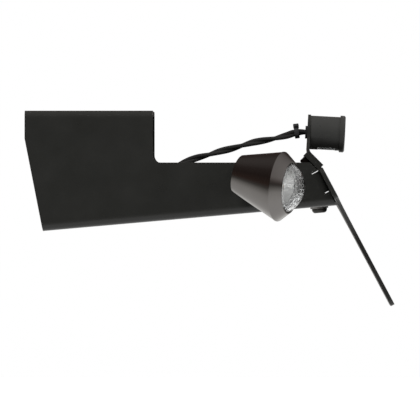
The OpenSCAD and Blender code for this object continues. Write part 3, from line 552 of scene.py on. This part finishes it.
def nutPoints(spec):
    # A hexagon whose corners are cut by a cone at both faces, round a bore with the thread in it
    cut, h, bore, flats, pitch = nutCut, spec["height"], spec["bore"] / 2, spec["flats"], spec["pitch"]
    inner = np.linspace(cut["bevel"], h - cut["bevel"], int(h / pitch * screwCut["rowsPerPitch"]))
    drop = cut["drop"] * flats / cut["dropFlats"]
    face, mouth = flats / 2 * cut["faceShare"], bore + cut["mouth"]
    hole = np.vstack([[(0, mouth)], np.c_[inner, np.full(len(inner), bore)], [(h, mouth)], [(h, face)]])
    rows = np.vstack([hole, [(h - drop, flats / 2)] * 2, [(drop, flats / 2)] * 2, [(0, face)]])
    upper, lower = slice(len(hole), len(hole) + 2), slice(len(hole) + 2, len(hole) + 4)
    thread, side = np.zeros(len(rows), bool), np.zeros(len(rows), bool)
    thread[1:len(inner) + 1] = True
    side[upper] = side[lower] = True

    def radiusAt(z, r, angle):
        cutThread = threadAt(z, angle, bore + cut["crest"], cut["threadDepth"] * pitch, pitch) + 0 * r
        hexagon = hexAt(flats, angle) + 0 * r
        return np.where(side[:, None], hexagon, np.where(thread[:, None], cutThread, r))
    points = turned(rows, screwCut["around"], radiusAt)
    # The cone: a corner that stands out further than the flat's middle meets the side lower down
    out = np.hypot(points[..., 0], points[..., 1]) - flats / 2
    slant = np.clip(out, 0, None) * math.tan(math.radians(cut["cone"]))
    points[upper, :, 2] -= slant[upper]
    points[lower, :, 2] += slant[lower]
    return points


# One row for each pair: the piece, its look, its shape, the frame it sits in, its place there on one side,
# whether it is turned over, and the node it replaces
fixings = (
    ("holderScrews", "fastener_steel", "holderScrew", onPlane, (9.087, 20, 0), False, "holder_screws"),
    ("holderNuts", "dark_nuts", "nut", onPlane, (9.087, 20, -4), True, "holder_nuts"),
    ("footScrews", "dark_nuts", "footScrew", onFloor, (116.063, 6.5, -0.8), True, "foot_screws"),
    ("footNuts", "dark_nuts", "nut", onFloor, (116.063, 6.5, 4), False, "foot_nuts"),
    ("bracketScrews", "fastener_steel", "bracketScrew", onBracket, (0, 9.5, 0), False, "bracket_screws"),
    ("bracketNuts", "dark_nuts", "nut", onBracket, (0, 9.5, -3.5), True, "bracket_nuts"),
    ("lampScrews", "fastener_steel", "lampScrew", onLamp, (0, 5.4, -1.5), True, "lamp_screws"))


def addFasteners():
    for name, slot, shape, place, (x, y, z), over, node in fixings:
        points = nutPoints(fasteners[shape]) if shape == "nut" else screwPoints(fasteners[shape])
        both = [moved(points, shifted(place, x, y * side, z, over)) for side in (-1, 1)]
        addPiece(name, slot, both, looped=shape == "nut", sharpest=25, nodes=[node])


addFasteners()
print("tail tidy: fasteners made")


def onSkewedRidge(cone, slope, radius, reach, skew):
    # The ridge's plane is turned by the skew. On it the cone reaches radius / (cos + slope sin) above its
    # axis and radius / (cos - slope sin) below, so the middle lies half the difference down
    c, s = math.cos(math.radians(skew)), math.sin(math.radians(skew))
    up, down = radius / (c + slope * s), radius / (c - slope * s)
    lean = frameAt((0, 0, 0), ("y", -skew)) @ frameAt(((down - up) / 2, 0, -reach))
    return cone @ frameAt((0, 0, reach)) @ lean, (up + down) / 2


# Indicators: a housing with its skewed ridge and its neck, the clear lens with pillows moulded inside it, a
# faceted bowl, the diode on its board, and the hollow stem with its nut and rubber washer
housing = {
    "front": 9.5, "frontRound": 1.5, "ridge": 17.0, "ridgeAt": 23.0, "ridgeWidth": 0.4, "ridgeLip": 0.15,
    "skew": 8, "mouthAt": 28.5, "ring": 13.0, "seatAt": 26.3, "bore": 10.0, "boreAt": 14.1, "lensPlay": 0.1,
    "ringRounds": [0.05, 0.15, 0.25, 0.12, 0.05, 0.1, 0.3], "frontSteps": 8, "ringSteps": 6, "around": 160,
    "coneRows": 14, "neck": 5.0, "neckStart": 3, "neckEnd": 26.0, "neckRounds": [0.5, 0.6], "neckSteps": 4,
    "neckAround": 72}
slope = (housing["ridge"] - housing["front"]) / housing["ridgeAt"]
inHousing, ridgeRadius = onSkewedRidge(inCone, slope, housing["ridge"], housing["ridgeAt"], housing["skew"])


def addHousing(side, flip):
    # One surface from the front face's middle to the bore's end. The cone's rows lean over step by step
    # until the last lies in the ridge's plane, where
    # z = (ridgeAt + tan * front * cos) / (1 - tan * slope * cos)
    s, band = housing, ridgeRadius + housing["ridgeLip"]
    outline = [(0, 0), (0, s["front"]), (1, s["front"] + slope)]
    front = softened(outline, [s["frontRound"]], s["frontSteps"])[:-1]
    angle = np.arange(s["around"]) * 2 * np.pi / s["around"]
    tilt = math.tan(math.radians(s["skew"])) * np.cos(angle)
    end = (s["ridgeAt"] + tilt * s["front"]) / (1 - tilt * slope)
    z = front[-1, 0] + np.linspace(0, 1, s["coneRows"])[1:, None] * (end - front[-1, 0])
    r = s["front"] + slope * z
    leaning = np.stack([r * np.cos(angle), r * np.sin(angle), z], -1)
    cone = np.concatenate([turned(front, s["around"]), leaning])
    mouth = lens["radius"] + s["lensPlay"]
    ring = softened([
        (s["ridgeAt"], s["ridge"]), (s["ridgeAt"], band), (s["ridgeAt"] + s["ridgeWidth"], band),
        (s["mouthAt"], s["ring"]), (s["mouthAt"], mouth), (s["seatAt"], mouth), (s["seatAt"], s["bore"]),
        (s["boreAt"], s["bore"]), (s["boreAt"], 0)], s["ringRounds"], s["ringSteps"])[1:]
    body = np.concatenate([moved(cone, inCone), moved(turned(ring, s["around"]), inHousing)])
    neck = softened([(s["neckStart"], 0), (s["neckStart"], s["neck"]), (s["neckEnd"], s["neck"]),
                     (s["neckEnd"], 0)], s["neckRounds"], s["neckSteps"])
    neck = moved(turned(neck, s["neckAround"]), onStem)
    addPiece(side + "Housing", "dark_chrome", [body, neck], flip=flip, sharpest=28,
             nodes=[side + "_housing"])


lens = {
    "radius": 12.0, "height": 6.5, "wall": 1.4, "rimAt": 27.1, "rows": 26, "around": 160, "pillow": 2.3,
    "pillowDepth": 0.12, "pillowRows": 60}


def addLens(side, flip):
    # The outside is a ball's cap on a short rim, with the ball's radius (r * r + h * h) / 2h. The inside is
    # a smaller cap, sunk by the pillow's depth times the squared sines along x and y, which fade out over
    # the last millimetre before the rim
    s, mouthAt = lens, housing["mouthAt"]
    ball = (s["radius"] ** 2 + s["height"] ** 2) / (2 * s["height"])
    tall = np.linspace(s["radius"], 0, s["rows"])
    outside = np.c_[np.sqrt(ball ** 2 - tall ** 2) - (ball - s["height"]) + mouthAt, tall]
    inner, innerBall = s["radius"] - s["wall"], ball - s["wall"]
    low = np.linspace(0, inner, s["pillowRows"])
    rise = np.sqrt(innerBall ** 2 - low ** 2) - math.sqrt(innerBall ** 2 - inner ** 2)
    inside = np.c_[rise + mouthAt, low]
    rim = [(s["rimAt"], inner), (s["rimAt"], s["radius"])]
    points = turned(np.vstack([rim, outside, inside]), s["around"])
    wavesX = np.sin(np.pi * points[..., 0] / s["pillow"])
    wavesY = np.sin(np.pi * points[..., 1] / s["pillow"])
    fade = np.clip(inner - np.hypot(points[..., 0], points[..., 1]), 0, 1)
    first = len(rim) + len(outside)
    points[first:, :, 2] -= (wavesX ** 2 * wavesY ** 2 * fade * s["pillowDepth"])[first:]
    addPiece(side + "Lens", "clear_lens", [points], inHousing, looped=True, flip=flip, sharpest=30,
             nodes=[side + "_lens"])


bowl = {
    "play": 0.1, "depth": 10, "eye": 2.6, "thick": 1, "rim": 0.75, "facets": 24, "pointsPerFacet": 8,
    "steps": 7, "stepReach": 0.95}


def addBowl(side, flip):
    # The radius grows with the root of the height, in flat steps, and each step is a polygon
    s, seatAt, rimAt = bowl, housing["seatAt"], lens["rimAt"]
    outer, bottom = housing["bore"] - s["play"], seatAt - s["depth"]
    step = np.linspace(0, s["stepReach"], s["steps"])
    dish = np.c_[bottom + s["thick"] + s["depth"] * step,
                 s["eye"] + (outer - s["thick"] - s["eye"]) * np.sqrt(step)][::-1]
    lip = [(seatAt, outer), (seatAt, lens["radius"]), (rimAt, lens["radius"]), (rimAt, outer - s["rim"])]
    rows = np.vstack([lip, dish, [(bottom, s["eye"]), (bottom, outer)]])
    facet = np.zeros(len(rows), bool)
    facet[len(lip):len(lip) + len(dish)] = True

    def radiusAt(z, r, angle):
        part = 2 * np.pi / s["facets"]
        flat = r * math.cos(part / 2) / np.cos((angle % part) - part / 2)
        return np.where(facet[:, None], flat, r)
    shape = turned(rows, s["facets"] * s["pointsPerFacet"], radiusAt)
    addPiece(side + "Reflector", "reflector", [shape], inHousing, looped=True, flip=flip, sharpest=6,
             nodes=[side + "_reflector"])


diode = {
    "board": 1.2, "boardPlay": 0.2, "boardRound": 0.1, "boardSteps": 3, "boardAround": 96, "foot": 2.4,
    "footHeight": 0.9, "dome": 2.15, "domeAt": 2.5, "domeRows": 14, "around": 64}


def addDiode(side, flip):
    # A disc of board under the bowl, and on it a stepped foot and a domed lens
    s, bottom, edge = diode, housing["seatAt"] - bowl["depth"], housing["bore"] - diode["boardPlay"]
    disc = softened([(bottom - s["board"], 0), (bottom - s["board"], edge), (bottom, edge), (bottom, 0)],
                    [s["boardRound"]] * 2, s["boardSteps"])
    addPiece(side + "DiodeBoard", "board", [turned(disc, s["boardAround"])], inHousing, flip=flip)
    cap = np.radians(np.linspace(0, 90, s["domeRows"]))
    light = np.vstack([
        [(bottom, 0), (bottom, s["foot"]), (bottom + s["footHeight"], s["foot"]),
         (bottom + s["footHeight"], s["dome"])],
        np.c_[bottom + s["domeAt"] + s["dome"] * np.sin(cap), s["dome"] * np.cos(cap)]])
    addPiece(side + "Diode", "amber_led", [turned(light, s["around"])], inHousing, flip=flip,
             nodes=[side + "_led_board"])


stem = {
    "start": -9.7, "end": 18, "radius": 3.98, "bore": 1.9, "tip": 3.45, "threadFrom": -9.4, "threadTo": 17.6,
    "threadRows": 216, "threadDepth": 0.7, "pitch": 1.25, "around": 72,
    "nut": {"height": 5, "bore": 7.8, "flats": 13, "pitch": 1.25}, "nutAt": -3.2}
washer = {"inner": 4.1, "outer": 5.9, "thick": 3, "round": 0.55, "steps": 5, "bulge": 0.1}


def addStem(side, flip):
    # A threaded tube with plain ends. Its washer is squeezed, so its outside bulges by half a sine wave
    s, w = stem, washer
    shank = np.linspace(s["threadFrom"], s["threadTo"], s["threadRows"])
    rows = np.vstack([[(s["start"], s["bore"]), (s["start"], s["tip"])],
                      np.c_[shank, np.full(len(shank), s["radius"])],
                      [(s["end"], s["tip"]), (s["end"], s["bore"])]])
    inThread = np.zeros(len(rows), bool)
    inThread[2:-2] = True

    def radiusAt(z, r, angle):
        cutThread = threadAt(z, angle, s["radius"], s["threadDepth"], s["pitch"]) + 0 * r
        return np.where(inThread[:, None], cutThread, r)
    addPiece(side + "Stem", "fastener_steel", [turned(rows, s["around"], radiusAt)], onStem, looped=True,
             flip=flip, sharpest=25, nodes=[side + "_stem"])
    insideWall = shifted(onStem, z=s["nutAt"], turnOver=True)
    addPiece(side + "Nut", "fastener_steel", [nutPoints(s["nut"])], insideWall, looped=True, flip=flip,
             sharpest=25, nodes=[side + "_nut"])
    ring = softened([(0, w["inner"]), (0, w["outer"]), (w["thick"], w["outer"]), (w["thick"], w["inner"])],
                    [w["round"]] * 2, w["steps"])
    outside = ring[:, 1] > (w["inner"] + w["outer"]) / 2
    ring[:, 1] += w["bulge"] * np.sin(np.clip(ring[:, 0] / w["thick"], 0, 1) * np.pi) * outside
    addPiece(side + "RubberWasher", "soft_rubber", [turned(ring, s["around"])], onStem, looped=True,
             flip=flip, nodes=[side + "_rubber_washer"])


for side, flip in (("right", False), ("left", True)):
    for add in (addHousing, addLens, addBowl, addDiode, addStem):
        add(side, flip)
print("tail tidy: indicators made")

# Leads: the lamp's two cores wind round each other, and the indicators' leads are round. The points are
# listed in millimetres
leads = {
    "lamp": [
        (115, 0, -10.8), (111, 0, -10.6), (107, 0, -10.4), (103, 0, -10.9), (99, 0, -12.2), (92, 0, -13.9),
        (83, 0, -15.5), (77.5, 0, -17), (72, 0, -18.6), (65, 0, -20.3), (60, 0, -21.8), (54, 0, -23.4),
        (48, 0, -25.5), (41, 0, -28.6), (34, 0, -32.6), (27, 0, -37.4), (20, 0, -42.4), (13, 0, -46.8),
        (8, 0, -49.8), (4, 0, -51.7), (1, 0, -52.6), (-2, 0, -53.05), (-4, 0, -53.23)],
    "side": [
        (88.1, 58.7, -37.3), (86, 57.7, -36.3), (83.4, 56.6, -35.2), (80.8, 55.4, -34.3),
        (78.6, 53.8, -33.5), (77.3, 51.5, -33.1), (77, 48, -33), (77, 42, -33), (77, 36, -33), (77, 30, -33),
        (77, 24, -33), (77, 19, -33), (76.4, 15.4, -33.5), (74.4, 12.4, -35.2), (71.4, 10.4, -38.2),
        (67.8, 9.6, -42), (63.8, 9.5, -45.4), (59.4, 9.5, -48), (54.4, 9.5, -49.3), (49, 9.5, -49.9),
        (42, 9.5, -50.5), (35, 9.5, -51.1), (28, 9.5, -51.7), (21, 9.5, -52.3), (14, 9.5, -53),
        (7, 9.5, -53.6), (1, 9.5, -54.1), (-4, 9.5, -54.5)],
    "core": 1.05, "apart": 0.75, "pitch": 34.0, "phase": 0.6, "lampSteps": 10, "coreAround": 18,
    "lampAside": (0, 1, 0), "sideRadius": 1.48, "sideSteps": 6, "sideAround": 24,
    "sideAside": (0.5, -0.5, 0.7)}


def addLeads():
    s = leads
    path = smoothPath(s["lamp"], s["lampSteps"])
    cores = [carried(path, s["core"], s["coreAround"], s["lampAside"], s["apart"], s["pitch"], phase)
             for phase in (s["phase"], s["phase"] + math.pi)]
    addPiece("lampLead", "lead_sheath", cores, nodes=["lamp_lead"])
    path = smoothPath(s["side"], s["sideSteps"])
    for side, flip in (("right", False), ("left", True)):
        tube = carried(path, s["sideRadius"], s["sideAround"], s["sideAside"])
        addPiece(side + "Lead", "lead_sheath", [tube], flip=flip, nodes=[side + "_lead"])


addLeads()

# Tie on the lamp's lead: a strap with rounded edges, and a head with the strap's cut end in it. Each block
# is given by its low corner, its high corner and the radius of its edges
tie = {
    "at": (104.3, 0, -10.75), "pitch": 7, "width": 2.4, "inner": 1.95, "outer": 2.9,
    "rounds": [0.3, 0.3, 0.1], "steps": 3, "around": 64,
    "head": ((-4.6, -1.7, -1.4), (-2.1, 1.7, 1.4), 0.35),
    "cutEnd": ((-4.0, -2.6, -0.9), (-3.2, 2.2, 0.9), 0.2)}


def addTie():
    place = frameAt(tie["at"], ("y", 90 - tie["pitch"]))
    w, inner, outer = tie["width"] / 2, tie["inner"], tie["outer"]
    outline = [(-w, inner), (-w, outer), (w, outer), (w, inner), (-w, inner)]
    strap = softened(outline, tie["rounds"], tie["steps"])
    parts = [turned(strap, tie["around"]), blockAt(*tie["head"]), blockAt(*tie["cutEnd"])]
    addPiece("lampLeadTie", "connector_nylon", parts, place, nodes=["lamp_lead_tie"])


addTie()
print("tail tidy: leads made")

# A pale floor below the part, large soft lights for the coats, and a world that each kind of ray sees in
# its own way. The camera sees white. Glossy rays see a plain gradient: bright below the horizon, dark and a
# little warm above it, dimmed on the camera's side, with two soft glows added, one beyond the rear and one
# on the far side. Rays through the lenses see a light that is stronger from below, and all other rays an
# even one. Each of the lights is a name, a place, a size and a power
studio = {
    "floorDrop": -0.2, "floorRadius": 2.3, "floorSides": 96, "floorColour": 0.88, "floorRoughness": 0.9,
    "floorGlow": 0.16, "ambient": 0.42,
    "lights": (
        ("keyLight", (-1.2, -2.4, 3.0), 1.8, 195), ("fillLight", (3.2, -2.0, 1.8), 1.6, 40),
        ("backLight", (0.8, 2.8, 2.2), 2.0, 90)),
    "gradient": (
        (0.0, (1.0, 1.0, 1.0)), (0.15, (1.0, 1.0, 0.98)), (0.32, (0.8, 0.79, 0.77)),
        (0.42, (0.42, 0.41, 0.39)), (0.475, (0.16, 0.15, 0.14)), (0.56, (0.095, 0.062, 0.052)),
        (0.72, (0.06, 0.042, 0.037)), (0.85, (0.085, 0.066, 0.06)), (1.0, (0.22, 0.2, 0.19))),
    "glows": (
        {"axis": "X", "reach": (0.35, 0.8), "height": (0.02, 0.3), "colour": (0.62, 0.61, 0.6)},
        {"axis": "Y", "reach": (0.6, 0.95), "height": (0.02, -0.1), "colour": (0.25, 0.25, 0.245)}),
    "lensHeight": (-0.6, 0.6), "lensStrength": (1.7, 0.7),
    "cameraSide": (-0.72, -0.98), "cameraStrength": (1.0, 0.22)}
white = (1, 1, 1, 1)


def addFloor():
    # A disc that reflections and bounced light leave out
    mesh = bpy.data.meshes.new("studioFloor")
    sides = studio["floorSides"]
    turn = np.arange(sides) * 2 * np.pi / sides
    ring = np.c_[np.cos(turn), np.sin(turn), np.zeros(sides)] * studio["floorRadius"]
    ring = ring + [0, 0, studio["floorDrop"]]
    mesh.from_pydata(ring.tolist(), [], [list(range(sides))])
    floor = bpy.data.objects.new("studioFloor", mesh)
    bpy.context.scene.collection.objects.link(floor)
    material, _, shader = newMaterial("studioFloor", Roughness=studio["floorRoughness"])
    shader.inputs["Base Color"].default_value = (*[studio["floorColour"]] * 3, 1)
    shader.inputs["Emission Color"].default_value = white
    shader.inputs["Emission Strength"].default_value = studio["floorGlow"]
    mesh.materials.append(material)
    floor.visible_glossy = False
    floor.visible_diffuse = False


def addLights():
    # Round area lights that face the picture's centre, and that no reflection or lens shows
    for name, place, size, power in studio["lights"]:
        data = bpy.data.lights.new(name, "AREA")
        data.shape, data.size, data.energy = "DISK", size, power
        lamp = bpy.data.objects.new(name, data)
        bpy.context.scene.collection.objects.link(lamp)
        lamp.location = place
        lamp.visible_glossy = False
        lamp.visible_transmission = False
        x, y, z = np.array(place) - np.array(shot["centre"])
        lamp.rotation_euler = (math.atan2(math.hypot(x, y), z), 0, math.atan2(x, -y))


def backdrop(tree, colour, strength):
    return put(tree, "ShaderNodeBackground", None, {"Color": colour, "Strength": strength}).outputs[0]


def switched(tree, ray, otherwise, chosen):
    # The chosen backdrop for this kind of ray, and the other one for the rest
    return put(tree, "ShaderNodeMixShader", None, {0: ray, 1: otherwise, 2: chosen}).outputs[0]


def addWorld():
    world = bpy.data.worlds.new("studio")
    bpy.context.scene.world = world
    world.use_nodes = True
    tree = world.node_tree
    tree.nodes.clear()
    given = put(tree, "ShaderNodeTexCoord").outputs["Generated"]
    way = put(tree, "ShaderNodeSeparateXYZ", None, {"Vector": given}).outputs
    shade = put(tree, "ShaderNodeValToRGB", None, {"Fac": spread(tree, way["Z"], -1.0, 1.0)})
    ramp = shade.color_ramp
    stops = studio["gradient"]
    for stop, (position, colour) in zip(ramp.elements, (stops[0], stops[-1])):
        stop.position, stop.color = position, (*colour, 1)
    for position, colour in stops[1:-1]:
        ramp.elements.new(position).color = (*colour, 1)
    sky = shade.outputs[0]
    for glow in studio["glows"]:
        shine = maths(tree, "MULTIPLY", spread(tree, way[glow["axis"]], *glow["reach"]),
                      spread(tree, way["Z"], *glow["height"]))
        sky = blendColour(tree, shine, sky, glow["colour"], "ADD")
    strength = spread(tree, way["Y"], *studio["cameraSide"], *studio["cameraStrength"])
    ray = put(tree, "ShaderNodeLightPath").outputs
    even = backdrop(tree, white, studio["ambient"])
    glossy = backdrop(tree, sky, strength)
    plain = backdrop(tree, white, 1.0)
    lit = switched(tree, ray["Is Glossy Ray"], even, glossy)
    through = spread(tree, way["Z"], *studio["lensHeight"], *studio["lensStrength"])
    behind = switched(tree, ray["Is Transmission Ray"], lit, backdrop(tree, white, through))
    seen = switched(tree, ray["Is Camera Ray"], behind, plain)
    put(tree, "ShaderNodeOutputWorld", None, {"Surface": seen})


addFloor()
addLights()
addWorld()
print("tail tidy: studio made")
